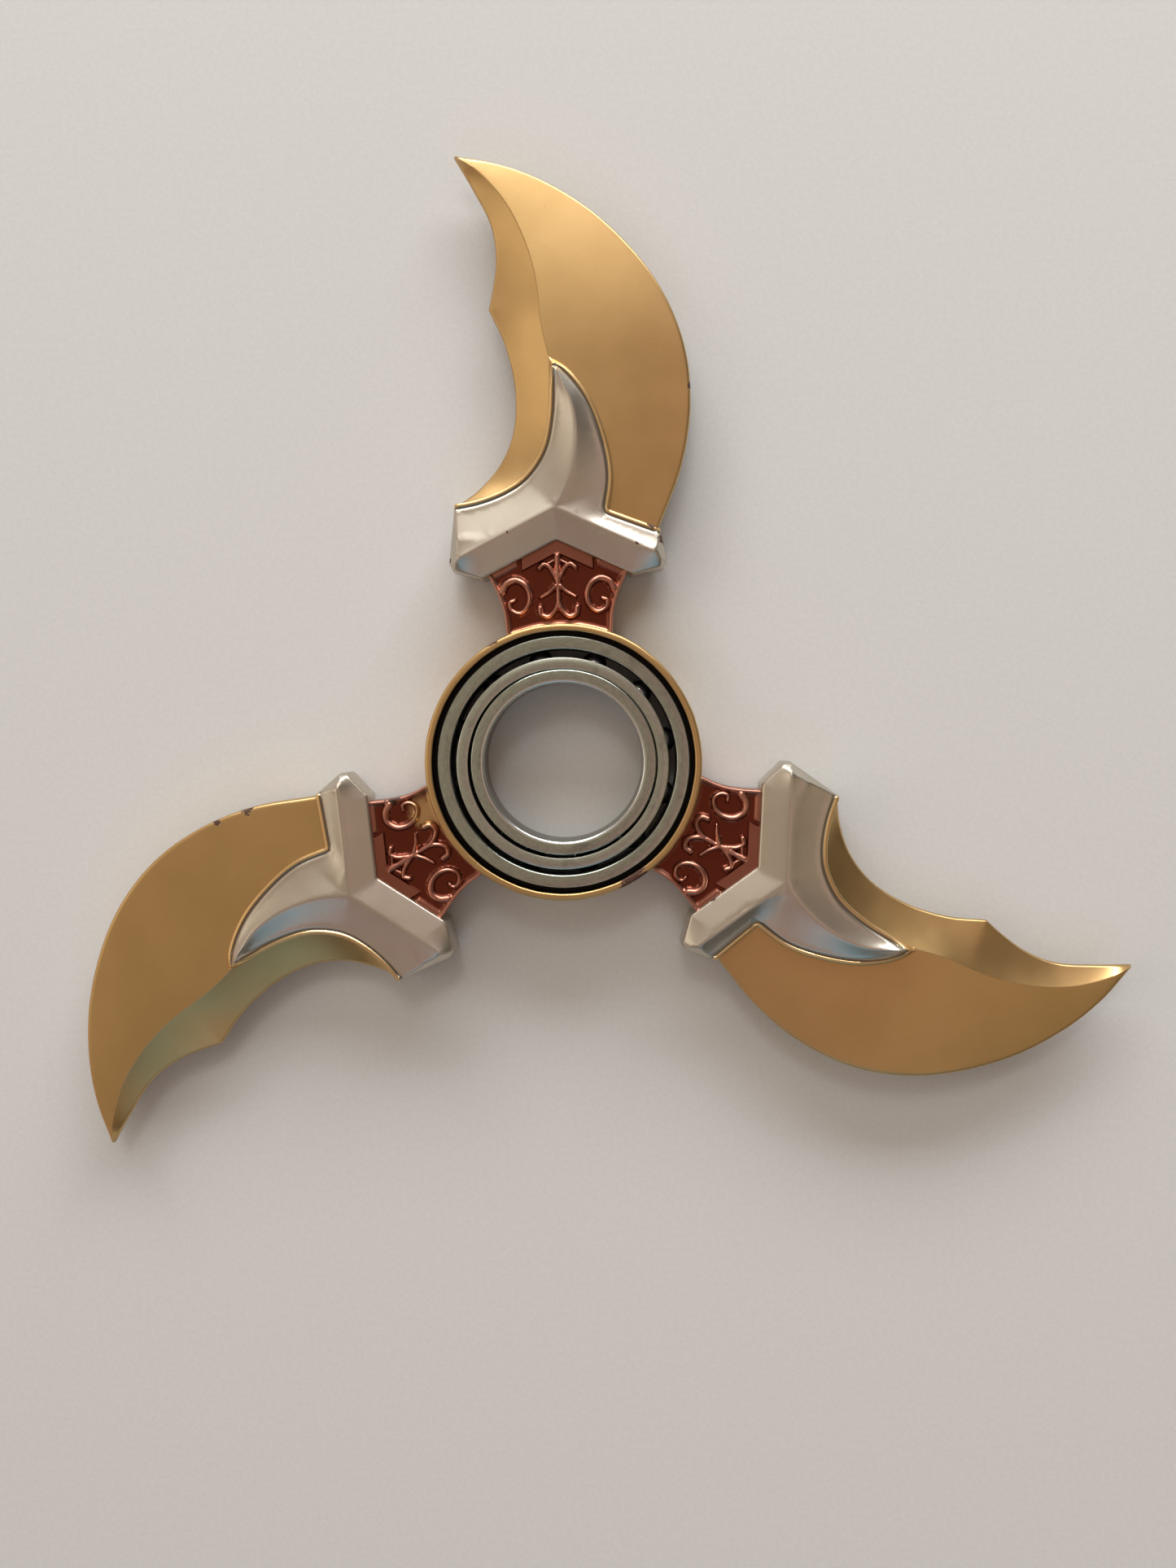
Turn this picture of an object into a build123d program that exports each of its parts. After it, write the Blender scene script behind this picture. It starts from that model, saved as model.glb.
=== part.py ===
from build123d import *
from math import cos, radians, sin
import os

# Three-arm fidget spinner with curved claw blades, turning on an open thin-section ball bearing.
# Millimetres. The origin is the bearing's centre, +Z is the spin axis and arm 1 points along +Y.
# Every arm part is drawn for arm 1 and turned round the axis for the other two. Both faces of the
# spinner are alike, so each arm part is shaped above the XY plane and mirrored below it.

# ---- driving dimensions -------------------------------------------------------------------
ARMS = 3
ARM_STEP = 360 / ARMS

# Bearing: 15 x 24 x 5 thin-section size, open, with a crown cage
BORE_R = 7.5
RACE_OD_R = 12.0
BEARING_HALF = 2.5
INNER_SHOULDER_R = 8.8
OUTER_SHOULDER_R = 10.73
RACE_CORNER = 0.3
SHOULDER_CORNER = 0.12
PITCH_R = 9.75
BALL_R = 1.19
BALLS = 12
BALL_PHASE = 11.0
GROOVE_CLEARANCE = 0.025

# Crown cage: a flat ring on the upper side, open pockets below
CAGE_INNER_R = 9.0
CAGE_OUTER_R = 10.12
CAGE_TOP = 2.2
CAGE_BOTTOM = -0.7
CAGE_CORNER = 0.15
POCKET_CLEARANCE = 0.14

# Hub ring, which holds the bearing
HUB_R = 13.1
HUB_HALF = 3.2
HUB_LIP_R = 12.43
SEAT_HALF = 1.6
HUB_CORNER = 0.15

# Half thicknesses of the arm parts
BLADE_FACE_Z = 1.8
BLADE_EDGE_Z = 0.25
GUARD_RIDGE_Z = 3.1
GUARD_EDGE_Z = 2.2
GUARD_FOOT_Z = 2.3
NECK_Z = 2.1
NECK_FLOOR_Z = 1.6
SCROLL_Z = 1.95

# Blade, seen from above
TIP = (-8.55, 57.25)
CUSP = (-5.75, 43)
HEEL = (9.65, 21.85)
TOE = (-9.1, 24.85)
OUTER_EDGE = [
    TIP, (-4.25, 56.3), (0, 54.5), (4.95, 51.05), (9.9, 45.25), (12.45, 39.3), (13, 33.6),
    (12.05, 27.85), HEEL]
UPPER_SCALLOP = [TIP, (-6.9, 54.3), (-5.3, 50.9), (-4.9, 47.9), (-5.25, 45.1), CUSP]
LOWER_SCALLOP = [CUSP, (-4.3, 39.6), (-3.5, 35.4), (-3.8, 31.45), (-5.2, 28.35), (-7.4, 26), TOE]
BEVEL_START = (-8, 57)
BEVEL_MIDDLE = (-0.75, 40.7)
BEVEL_END = (-8.5, 23.6)
UPPER_BEVEL = [BEVEL_START, (-6.4, 55.7), (-3.95, 52.85), (-2.15, 49.1), (-1.2, 45.45), BEVEL_MIDDLE]
LOWER_BEVEL = [
    BEVEL_MIDDLE, (-0.1, 37.5), (0.3, 34.55), (-0.1, 31.1), (-1.6, 27.85), (-4.35, 25.3), BEVEL_END]
TANG = [HEEL, (8.9, 21.05), (3.45, 22.5), (-3.45, 22.5), (-8.3, 23.3), TOE]

# Guard, seen from above
LEAF_TIP = (-0.15, 38)
LEAF_BASE = (5.05, 23.65)
LEAF_LEFT_MIDDLE = (-2.95, 27.05)
GUARD_LEFT_TOP = (-9.5, 24.6)
GUARD_LEFT_LOW = (-10.2, 19)
GUARD_LEFT_CORNER = (-9.9, 18.4)
GUARD_RIGHT_TOP = (9.8, 21.75)
GUARD_RIGHT_LOW = (10.3, 18.8)
GUARD_RIGHT_CORNER = (9.95, 18.1)
GUARD_FOOT_X = 7.1
LEAF_LEFT_LOW = [GUARD_LEFT_TOP, (-7.4, 24.95), (-4.9, 25.8), LEAF_LEFT_MIDDLE]
LEAF_LEFT_HIGH = [LEAF_LEFT_MIDDLE, (-1.2, 29.5), (-0.45, 32.5), (-0.25, 35.4), LEAF_TIP]
LEAF_RIGHT = [LEAF_BASE, (5.5, 27.05), (4.9, 30.7), (3.55, 34.25), (1.5, 36.95), LEAF_TIP]
CHEVRON_APEX = (0, 20.95)
CHEVRON_SLOPE = 0.482
RIDGE_APEX = (0, 23.95)
LEAF_RIDGE_END = (0.9, 35.75)
LEAF_RIDGE = [RIDGE_APEX, (1.3, 26.55), (2.1, 30.3), (1.85, 33.5), LEAF_RIDGE_END]

# Neck, seen from above; its right side mirrors its left
NECK_TOP_X = 6.55
NECK_SIDE = [(-5.75, 16.05), (-5.2, 14.3), (-5, 11.7)]
PANEL_TOP = 20.4
PANEL_TOP_X = 5.8
PANEL_SIDE = [(-5.2, 15.85), (-4.8, 14.3), (-4.55, 11.7)]
TENON_HALF_X = 2.5
TENON_HALF_Z = 1.2
TENON_TOP = 21.95
SCROLL_WIDTH = 0.44
STEM = [(0, 19.7), (0, 14.95)]
SIDE_SCROLL = [(-5.2, 16.45), (-4.1, 17.3), (-3.15, 16.85), (-2.75, 15.75), (-3.05, 14.7), (-3.85, 14.2),
               (-4.55, 14.8), (-4.25, 15.45)]
UPPER_LEAF = [(-1.6, 18.4), (-0.75, 18), (0, 17.05)]
MIDDLE_LEAF = [(-1.6, 15.7), (-0.8, 16.15), (0, 16.85)]
LOWER_CURL = [(0, 15.25), (-0.35, 14.3), (-1.05, 13.8), (-1.7, 14.6)]
PLATE_X = 3.35
PLATE_TOP = 20.1
PLATE_BOTTOM = 19.3

# Far corners of the cutters, well outside the arm
FAR_LEFT = -20
FAR_RIGHT = 20
FAR_TOP = 62
FAR_BOTTOM = 8


# ---- helpers ------------------------------------------------------------------------------
def chevron(height, x):
    """A point on the line parallel to the chevron whose apex is at that height."""
    return (x, height - CHEVRON_SLOPE * abs(x))


def curve(points):
    """A spline through three or more points, or the line between two."""
    return Spline(*points) if len(points) > 2 else Line(*points)


def outline(*runs):
    """The closed outline made of those runs of points, in order."""
    with BuildLine() as line:
        for run in runs:
            curve(run)
        Line(runs[-1][-1], runs[0][0])
    return line.edges()


def sloping_cutter(high_z, high_runs, low_z, low_runs):
    """The space over a sloping face, which falls from the first run at high_z to the first at low_z."""
    with BuildPart() as cutter:
        with BuildSketch(Plane.XY.offset(low_z)):
            make_face(outline(*low_runs))
        with BuildSketch(Plane.XY.offset(high_z)):
            make_face(outline(*high_runs))
        loft(ruled=True)
    return cutter.part


def mirrored(points):
    """The same points on the other side of the arm's centre line, in reverse order."""
    return [(-x, y) for x, y in reversed(points)]


def write(part, name):
    part.label = name
    export_step(part, f"parts/{name}.step")
    print(f"{name}: {part.volume:.1f} mm3, {len(part.solids())} solid(s)")


def write_arms(part, name):
    """Writes one copy for each arm, clockwise seen from above."""
    for arm in range(ARMS):
        write(part.rotate(Axis.Z, -ARM_STEP * arm), f"{name}_{arm + 1}")


# ---- hub and bearing ----------------------------------------------------------------------
def make_hub_ring():
    """A thin-walled ring whose middle land holds the bearing, with a free gap round each face."""
    with BuildPart() as ring:
        with BuildSketch(Plane.XZ):
            with Locations(((HUB_LIP_R + HUB_R) / 2, 0)):
                Rectangle(HUB_R - HUB_LIP_R, 2 * HUB_HALF)
        revolve(axis=Axis.Z)
        rims = ring.edges().filter_by(GeomType.CIRCLE).filter_by(lambda e: abs(e.center().Z) > SEAT_HALF)
        fillet(rims, HUB_CORNER)
        with BuildSketch(Plane.XZ):
            with Locations(((RACE_OD_R + HUB_LIP_R) / 2, 0)):
                Rectangle(HUB_LIP_R - RACE_OD_R, 2 * SEAT_HALF)
        revolve(axis=Axis.Z)
    return ring.part


def make_race(inner_r, outer_r, outside_r):
    """One bearing ring between two radii; outside_r is the one away from the balls."""
    with BuildPart() as race:
        with BuildSketch(Plane.XZ):
            with Locations(((inner_r + outer_r) / 2, 0)):
                Rectangle(outer_r - inner_r, 2 * BEARING_HALF)
        revolve(axis=Axis.Z)
        rims = race.edges().filter_by(GeomType.CIRCLE)
        outside = rims.filter_by(lambda e: abs(e.radius - outside_r) < 0.01)
        shoulder = rims.filter_by(lambda e: abs(e.radius - outside_r) >= 0.01)
        chamfer(outside, RACE_CORNER)
        fillet(shoulder, SHOULDER_CORNER)
        with BuildSketch(Plane.XZ):
            with Locations((PITCH_R, 0)):
                Circle(BALL_R + GROOVE_CLEARANCE)
        revolve(axis=Axis.Z, mode=Mode.SUBTRACT)
    return race.part


def make_cage():
    """A crown cage: one flat ring over the balls, with a pocket for each ball open underneath."""
    with BuildPart() as cage:
        with BuildSketch(Plane.XZ):
            with Locations(((CAGE_INNER_R + CAGE_OUTER_R) / 2, (CAGE_TOP + CAGE_BOTTOM) / 2)):
                Rectangle(CAGE_OUTER_R - CAGE_INNER_R, CAGE_TOP - CAGE_BOTTOM)
        revolve(axis=Axis.Z)
        fillet(cage.edges().filter_by(GeomType.CIRCLE).group_by(Axis.Z)[-1], CAGE_CORNER)
        with PolarLocations(PITCH_R, BALLS, start_angle=BALL_PHASE):
            Sphere(BALL_R + POCKET_CLEARANCE, mode=Mode.SUBTRACT)
    return cage.part


def make_ball(index):
    """One ball, at its place on the pitch circle."""
    angle = radians(BALL_PHASE + 360 / BALLS * index)
    with BuildPart() as ball:
        with Locations((PITCH_R * cos(angle), PITCH_R * sin(angle), 0)):
            Sphere(BALL_R)
    return ball.part


# ---- arm parts ----------------------------------------------------------------------------
def make_blade():
    """A curved claw with a flat face, a bevelled and twice-scalloped inner edge and a hidden tang."""
    far_corner = (FAR_LEFT, CUSP[1])
    upper = sloping_cutter(
        BLADE_FACE_Z, [UPPER_BEVEL, [BEVEL_MIDDLE, far_corner], [far_corner, (FAR_LEFT, FAR_TOP)]],
        BLADE_EDGE_Z, [UPPER_SCALLOP, [CUSP, far_corner], [far_corner, (FAR_LEFT, FAR_TOP)]])
    lower = sloping_cutter(
        BLADE_FACE_Z,
        [LOWER_BEVEL, [BEVEL_END, (FAR_LEFT, FAR_BOTTOM)], [(FAR_LEFT, FAR_BOTTOM), far_corner]],
        BLADE_EDGE_Z,
        [LOWER_SCALLOP, [TOE, (FAR_LEFT, FAR_BOTTOM)], [(FAR_LEFT, FAR_BOTTOM), far_corner]])
    with BuildPart() as blade:
        with BuildSketch(Plane.XY):
            with BuildLine():
                Spline(*OUTER_EDGE)
                Polyline(*TANG)
                Spline(*LOWER_SCALLOP)
                Spline(*UPPER_SCALLOP)
            make_face()
        extrude(amount=BLADE_FACE_Z)
        add(upper, mode=Mode.SUBTRACT)
        add(lower, mode=Mode.SUBTRACT)
        mirror(about=Plane.XY)
    return blade.part


def make_tenon():
    """The tongue that ties a neck into its guard."""
    with BuildPart() as tenon:
        with BuildSketch(Plane.XY):
            with BuildLine():
                Polyline(
                    (-TENON_HALF_X, TENON_TOP), (TENON_HALF_X, TENON_TOP),
                    chevron(CHEVRON_APEX[1], TENON_HALF_X), CHEVRON_APEX,
                    chevron(CHEVRON_APEX[1], -TENON_HALF_X), close=True)
            make_face()
        extrude(amount=TENON_HALF_Z, both=True)
    return tenon.part


def make_guard(blade, tenon):
    """A chevron bar with a fang-shaped leaf, roofed by sloping faces, and slotted for blade and tenon."""
    ridge_left = chevron(RIDGE_APEX[1], FAR_LEFT)
    ridge_right = chevron(RIDGE_APEX[1], FAR_RIGHT)
    ridge_near = chevron(RIDGE_APEX[1], GUARD_LEFT_TOP[0])
    foot_left = chevron(CHEVRON_APEX[1], FAR_LEFT)
    foot_right = chevron(CHEVRON_APEX[1], FAR_RIGHT)
    wing_far = (FAR_RIGHT, GUARD_RIGHT_TOP[1] - 0.4 * (FAR_RIGHT - GUARD_RIGHT_TOP[0]))
    below = [(FAR_RIGHT, FAR_BOTTOM), (FAR_LEFT, FAR_BOTTOM)]
    foot = sloping_cutter(
        GUARD_RIDGE_Z,
        [[ridge_left, RIDGE_APEX], [RIDGE_APEX, ridge_right], [ridge_right, below[0]], below],
        GUARD_FOOT_Z,
        [[foot_left, CHEVRON_APEX], [CHEVRON_APEX, foot_right], [foot_right, below[0]], below])
    left = sloping_cutter(
        GUARD_RIDGE_Z, [[ridge_left, ridge_near], [ridge_near, RIDGE_APEX], LEAF_RIDGE,
                        [LEAF_RIDGE_END, (0, FAR_TOP)], [(0, FAR_TOP), (FAR_LEFT, FAR_TOP)]],
        GUARD_EDGE_Z, [[(FAR_LEFT, GUARD_LEFT_TOP[1]), GUARD_LEFT_TOP], LEAF_LEFT_LOW, LEAF_LEFT_HIGH,
                       [LEAF_TIP, (0, FAR_TOP)], [(0, FAR_TOP), (FAR_LEFT, FAR_TOP)]])
    leaf = sloping_cutter(
        GUARD_RIDGE_Z, [LEAF_RIDGE, [LEAF_RIDGE_END, (0, FAR_TOP)], [(0, FAR_TOP), (FAR_RIGHT, FAR_TOP)],
                        [(FAR_RIGHT, FAR_TOP), (FAR_RIGHT, 30)]],
        GUARD_EDGE_Z, [LEAF_RIGHT, [LEAF_TIP, (0, FAR_TOP)], [(0, FAR_TOP), (FAR_RIGHT, FAR_TOP)],
                       [(FAR_RIGHT, FAR_TOP), (FAR_RIGHT, 30)]])
    wing = sloping_cutter(
        GUARD_RIDGE_Z, [[RIDGE_APEX, ridge_right], [ridge_right, (FAR_RIGHT, 30)]],
        GUARD_EDGE_Z, [[LEAF_BASE, wing_far], [wing_far, (FAR_RIGHT, 30)]])
    with BuildPart() as guard:
        with BuildSketch(Plane.XY):
            with BuildLine():
                Spline(*LEAF_LEFT_LOW)
                Spline(*LEAF_LEFT_HIGH)
                Spline(*LEAF_RIGHT)
                Polyline(
                    LEAF_BASE, GUARD_RIGHT_TOP, GUARD_RIGHT_LOW, GUARD_RIGHT_CORNER,
                    chevron(CHEVRON_APEX[1], GUARD_FOOT_X), CHEVRON_APEX,
                    chevron(CHEVRON_APEX[1], -GUARD_FOOT_X),
                    GUARD_LEFT_CORNER, GUARD_LEFT_LOW, GUARD_LEFT_TOP)
            make_face()
        extrude(amount=GUARD_RIDGE_Z)
        for cutter in (foot, left, leaf, wing):
            add(cutter, mode=Mode.SUBTRACT)
        mirror(about=Plane.XY)
        add(blade, mode=Mode.SUBTRACT)
        add(tenon, mode=Mode.SUBTRACT)
    return guard.part


def make_neck(tenon):
    """A waisted link with raised rims round a sunk panel of scrollwork, ending in a tenon."""
    side = [chevron(CHEVRON_APEX[1], -NECK_TOP_X), *NECK_SIDE]
    panel = [chevron(PANEL_TOP, -PANEL_TOP_X), *PANEL_SIDE]
    with BuildPart() as neck:
        for edge, peak, bottom, top, mode in (
                (side, CHEVRON_APEX[1], 0, NECK_Z, Mode.ADD),
                (panel, PANEL_TOP, NECK_FLOOR_Z, NECK_Z, Mode.SUBTRACT)):
            with BuildSketch(Plane.XY.offset(bottom)):
                with BuildLine():
                    Spline(*edge)
                    Line(edge[-1], mirrored(edge)[0])
                    Spline(*mirrored(edge))
                    Polyline(mirrored(edge)[-1], (0, peak), edge[0])
                make_face()
            extrude(amount=top - bottom, mode=mode)
        with BuildSketch(Plane.XY.offset(NECK_FLOOR_Z)):
            with BuildLine():
                for run in (SIDE_SCROLL, UPPER_LEAF, MIDDLE_LEAF, LOWER_CURL):
                    Spline(*run)
                    Spline(*mirrored(run))
                Line(*STEM)
            trace(line_width=SCROLL_WIDTH)
        extrude(amount=SCROLL_Z - NECK_FLOOR_Z)
        with BuildSketch(Plane.XY.offset(NECK_FLOOR_Z)):
            with BuildLine():
                Polyline(
                    chevron(PLATE_TOP, -PLATE_X), (0, PLATE_TOP), chevron(PLATE_TOP, PLATE_X),
                    chevron(PLATE_BOTTOM, PLATE_X), (0, PLATE_BOTTOM), chevron(PLATE_BOTTOM, -PLATE_X),
                    close=True)
            make_face()
        extrude(amount=SCROLL_Z - NECK_FLOOR_Z)
        Cylinder(HUB_R, 2 * HUB_HALF, mode=Mode.SUBTRACT)
        mirror(about=Plane.XY)
        add(tenon)
    return neck.part


if __name__ == "__main__":
    os.makedirs("parts", exist_ok=True)
    blade = make_blade()
    tenon = make_tenon()
    guard = make_guard(blade, tenon)
    write(make_hub_ring(), "hub_ring")
    write(make_race(OUTER_SHOULDER_R, RACE_OD_R, RACE_OD_R), "bearing_outer_race")
    write(make_race(BORE_R, INNER_SHOULDER_R, BORE_R), "bearing_inner_race")
    write(make_cage(), "ball_cage")
    for index in range(BALLS):
        write(make_ball(index), f"ball_{index + 1:02d}")
    write_arms(blade, "blade")
    write_arms(guard, "guard")
    write_arms(make_neck(tenon), "neck")
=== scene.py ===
"""Looks for the three-arm claw spinner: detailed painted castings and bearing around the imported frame."""

import math

import bpy
import numpy as np
from mathutils import Matrix, Vector
from mathutils.geometry import delaunay_2d_cdt

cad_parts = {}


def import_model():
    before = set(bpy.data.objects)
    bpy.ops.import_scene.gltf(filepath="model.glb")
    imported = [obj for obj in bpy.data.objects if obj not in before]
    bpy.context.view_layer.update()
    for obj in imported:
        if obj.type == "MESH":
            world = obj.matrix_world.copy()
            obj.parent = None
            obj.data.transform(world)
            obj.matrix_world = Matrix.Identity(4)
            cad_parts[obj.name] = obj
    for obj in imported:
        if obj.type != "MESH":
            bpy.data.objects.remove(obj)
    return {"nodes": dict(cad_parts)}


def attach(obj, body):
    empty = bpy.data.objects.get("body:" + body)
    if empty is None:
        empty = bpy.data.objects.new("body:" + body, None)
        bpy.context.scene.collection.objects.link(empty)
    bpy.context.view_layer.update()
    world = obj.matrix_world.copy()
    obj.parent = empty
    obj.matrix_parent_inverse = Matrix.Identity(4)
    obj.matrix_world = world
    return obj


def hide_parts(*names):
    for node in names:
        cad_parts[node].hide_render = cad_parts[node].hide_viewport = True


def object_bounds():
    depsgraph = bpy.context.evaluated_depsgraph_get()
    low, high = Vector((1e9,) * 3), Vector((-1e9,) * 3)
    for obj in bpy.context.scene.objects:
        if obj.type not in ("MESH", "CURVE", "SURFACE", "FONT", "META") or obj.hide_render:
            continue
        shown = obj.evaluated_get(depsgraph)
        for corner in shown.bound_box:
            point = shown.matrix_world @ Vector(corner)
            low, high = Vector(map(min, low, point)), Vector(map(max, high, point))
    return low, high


MM = 0.001
ARMS = 3
ARM_STEP = math.radians(120)

# Camera: nearly straight above the bearing, position in mm
CAMERA_AT = (5.25, 5.49, 144.79)
CAMERA_LOOK = (-0.0209, -0.0533, -0.9984)
CAMERA_UP = (0.0299, 0.9981, -0.0539)
CAMERA_LENS = 34.56
CAMERA_SENSOR = 36
CAMERA_CLIP = (0.005, 10)

# Heights above the mid-plane, in mm
BLADE_Z = 1.8
BLADE_EDGE_Z = 0.25
GUARD_RIDGE_Z = 3.1
GUARD_EDGE_Z = 2.2
GUARD_FOOT_Z = 2.3
NECK_RIM_Z = 2.1
NECK_FLOOR_Z = 1.6
HUB_R = 13.1

# Blade outline, arm 1 pointing along +Y, in mm
TIP = (-8.55, 57.25)
CUSP = (-5.75, 43)
HEEL = (9.65, 21.85)
TOE = (-9.1, 24.85)
OUTER_EDGE = [
    TIP, (-4.25, 56.3), (0, 54.5), (4.95, 51.05), (9.9, 45.25), (12.45, 39.3), (13, 33.6),
    (12.05, 27.85), HEEL]
UPPER_SCALLOP = [TIP, (-6.9, 54.3), (-5.3, 50.9), (-4.9, 47.9), (-5.25, 45.1), CUSP]
LOWER_SCALLOP = [CUSP, (-4.3, 39.6), (-3.5, 35.4), (-3.8, 31.45), (-5.2, 28.35), (-7.4, 26), TOE]
BEVEL_RIDGE = [
    TIP, (-6.4, 55.7), (-3.95, 52.85), (-2.15, 49.1), (-1.2, 45.45), (-0.75, 40.7), (-0.1, 37.5),
    (0.3, 34.55), (-0.1, 31.1), (-1.6, 27.85), (-4.35, 25.3), (-8.5, 23.6)]
TANG = [HEEL, (8.9, 21.05), (3.45, 22.5), (-3.45, 22.5), (-8.3, 23.3), TOE]

# Guard outline
LEAF_TIP = (-0.15, 38)
LEAF_BASE = (5.05, 23.65)
GUARD_LEFT_TOP = (-9.5, 24.6)
GUARD_RIGHT_TOP = (9.8, 21.75)
LEAF_LEFT = [
    GUARD_LEFT_TOP, (-7.4, 24.95), (-4.9, 25.8), (-2.95, 27.05), (-1.2, 29.5), (-0.45, 32.5),
    (-0.25, 35.4), LEAF_TIP]
LEAF_RIGHT = [LEAF_TIP, (1.5, 36.95), (3.55, 34.25), (4.9, 30.7), (5.5, 27.05), LEAF_BASE]
GUARD_RIGHT_END = [GUARD_RIGHT_TOP, (10.3, 18.8), (9.95, 18.1), (7.1, 17.53)]
GUARD_LEFT_END = [(-7.1, 17.53), (-9.9, 18.4), (-10.2, 19), GUARD_LEFT_TOP]
CHEVRON_APEX = 20.95
CHEVRON_SLOPE = 0.482
RIDGE_APEX = 23.95
RIDGE_END_X = 9.3
LEAF_RIDGE = [(0, RIDGE_APEX), (1.3, 26.55), (2.1, 30.3), (1.85, 33.5), (0.9, 35.75), (0.15, 37.1)]

# Neck outline and relief; a stroke has its points and its half width at each end
NECK_SIDE = [(-6.55, 17.79), (-5.75, 16.05), (-5.2, 14.3), (-5, 12)]
PLATE_X = 3.4
PLATE_DEPTH = 1.15
STROKE_GAIN = 1.45
STROKES = [
    ([(-5.3, 16.3), (-4.9, 17.0), (-4.05, 17.35), (-3.1, 16.85), (-2.7, 15.75), (-3.0, 14.7),
      (-3.75, 14.2), (-4.5, 14.6), (-4.6, 15.25), (-4.15, 15.45)], 0.29, 0.15),
    ([(0, 19.5), (0, 18.6), (-0.05, 17.6), (0, 16.2)], 0.26, 0.17),
    ([(-1.7, 18.4), (-1.25, 18.75), (-0.75, 18.45), (-0.3, 17.7), (0, 16.9)], 0.2, 0.17),
    ([(-0.1, 19.3), (-0.6, 18.95), (-1.2, 18.7)], 0.12, 0.12),
    ([(-1.65, 15.65), (-0.8, 16.15), (-0.2, 16.7)], 0.13, 0.2),
    ([(0, 16.4), (0, 15.3), (-0.35, 14.35), (-1.0, 13.8), (-1.65, 14.05), (-1.75, 14.65)], 0.17, 0.24),
]

# Where the paint has chipped, as x, y and reach in mm
WORN = [
    (6.6, -11.4, 1.5), (-6.3, 11.4, 0.7), (-30.6, -4.0, 0.9), (-33.4, -5.0, 0.6), (-16.4, -3.0, 1.0),
    (9.0, 21.6, 0.8), (10.0, 20.6, 0.5), (13.0, 35.0, 0.35), (-10.2, 19.4, 0.35), (13.6, -13.3, 0.5),
    (-4.6, 21.7, 0.35), (7.6, 20.3, 0.4)]
CHIP_COLOUR = (0.075, 0.03, 0.018)
# Painted shade: a very dark colour laid in the gaps between the bearing's races and beside the hub
GAP_SHADE_COLOUR = (0.012, 0.011, 0.010)

# Gold overspray on the third arm's neck: x, y and reach in mm, as drawn for arm 1
OVERSPRAY_ARM = 2
OVERSPRAY = (2.9, 13.8, 2.4)


# ---- curves and distances, in mm ------------------------------------------------------------
def spline(points, step=0.22):
    """Points about step apart on a centripetal Catmull-Rom curve through the given ones."""
    p = np.array(points, float)
    p = np.vstack([2 * p[0] - p[1], p, 2 * p[-1] - p[-2]])
    runs = []
    for a, b, c, d in zip(p[:-3], p[1:-2], p[2:-1], p[3:]):
        t0 = 0.0
        t1 = t0 + np.linalg.norm(b - a) ** 0.5
        t2 = t1 + np.linalg.norm(c - b) ** 0.5
        t3 = t2 + np.linalg.norm(d - c) ** 0.5
        count = max(1, math.ceil(np.linalg.norm(c - b) / step))
        t = np.linspace(t1, t2, count, endpoint=False)[:, None]
        a1 = ((t1 - t) * a + (t - t0) * b) / (t1 - t0)
        a2 = ((t2 - t) * b + (t - t1) * c) / (t2 - t1)
        a3 = ((t3 - t) * c + (t - t2) * d) / (t3 - t2)
        b1 = ((t2 - t) * a1 + (t - t0) * a2) / (t2 - t0)
        b2 = ((t3 - t) * a2 + (t - t1) * a3) / (t3 - t1)
        runs.append(((t2 - t) * b1 + (t - t1) * b2) / (t2 - t1))
    runs.append(p[-2][None])
    return np.vstack(runs)


def straight(points, step=0.22):
    """Points about step apart on straight runs between the given ones."""
    runs = []
    for a, b in zip(points[:-1], points[1:]):
        a, b = np.array(a, float), np.array(b, float)
        count = max(1, math.ceil(np.linalg.norm(b - a) / step))
        runs.append(a + np.linspace(0, 1, count, endpoint=False)[:, None] * (b - a))
    runs.append(np.array(points[-1], float)[None])
    return np.vstack(runs)


def loop(*runs):
    """One closed outline from runs that follow each other, without its repeated corners."""
    return np.vstack([run[:-1] for run in runs])


def chevron(height, x):
    """A point on the line parallel to the guard's foot whose apex is at that height."""
    return (x, height - CHEVRON_SLOPE * abs(x))


def mirrored(points):
    """The same points across the arm's centre line, in reverse order."""
    return [(-x, y) for x, y in reversed(points)]


def distance(points, line):
    """Distance of each point from a polyline, its side (1 on the left) and the share along the line."""
    a = line[:-1]
    ab = line[1:] - a
    length = np.maximum(np.hypot(*ab.T), 1e-9)
    start = np.concatenate([[0], np.cumsum(length)[:-1]])
    far = np.empty(len(points))
    side = np.empty(len(points))
    along = np.empty(len(points))
    for k in range(0, len(points), 2000):
        q = points[k:k + 2000, None] - a
        t = np.clip((q * ab).sum(-1) / length ** 2, 0, 1)
        r = q - t[..., None] * ab
        d = np.hypot(r[..., 0], r[..., 1])
        i = d.argmin(1)
        row = np.arange(len(i))
        far[k:k + 2000] = d[row, i]
        side[k:k + 2000] = np.sign(ab[i, 0] * r[row, i, 1] - ab[i, 1] * r[row, i, 0])
        along[k:k + 2000] = (start[i] + t[row, i] * length[i]) / length.sum()
    return far, side, along


def closed(outline):
    """The outline with its first point repeated at the end."""
    return np.vstack([outline, outline[:1]])


def inside(points, outline):
    """Whether each point lies inside the closed outline."""
    a, b = outline, np.roll(outline, -1, axis=0)
    hit = np.zeros(len(points), bool)
    for (ax, ay), (bx, by) in zip(a, b):
        if ay == by:
            continue
        crosses = (ay > points[:, 1]) != (by > points[:, 1])
        hit ^= crosses & (points[:, 0] < (bx - ax) * (points[:, 1] - ay) / (by - ay) + ax)
    return hit


def smooth(low, high, value):
    """A smooth step from 0 at low to 1 at high."""
    t = np.clip((value - low) / (high - low), 0, 1)
    return t * t * (3 - 2 * t)


def rounding(d, radius):
    """How far a rounded edge of that radius lies below the face, at distance d from the edge."""
    u = np.clip(1 - d / radius, 0, 1)
    return radius * (1 - np.sqrt(np.clip(1 - u * u, 0, 1)))


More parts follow.
